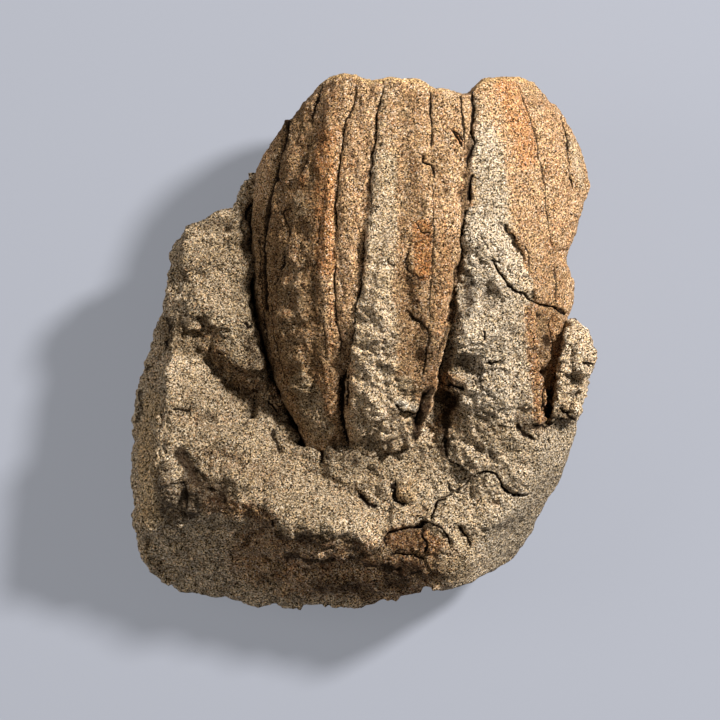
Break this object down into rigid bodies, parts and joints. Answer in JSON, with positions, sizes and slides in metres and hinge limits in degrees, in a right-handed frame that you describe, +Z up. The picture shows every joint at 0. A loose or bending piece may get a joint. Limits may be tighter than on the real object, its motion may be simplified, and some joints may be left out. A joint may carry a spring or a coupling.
{
  "type": "fossil fruit in sandstone",
  "caption": "Ribbed fossil fruit lying part buried in a hand-sized block of sandstone, with a flat underside to rest on.",
  "frame": {"origin": "middle of the specimen's outline, on the surface that it rests on", "axes": "+Z up out of the face that shows the fruit, +Y along the fruit from its buried tip to its broken end, +X to the right seen from above"},
  "size_m": [0.0554, 0.0636, 0.0297],
  "materials": {
    "fruit_rind": "matte",
    "sandstone": "matte"
  },
  "bodies": {
    "root": {"fruit": "fruit_rind", "matrix": "sandstone"}
  },
  "joints": []
}
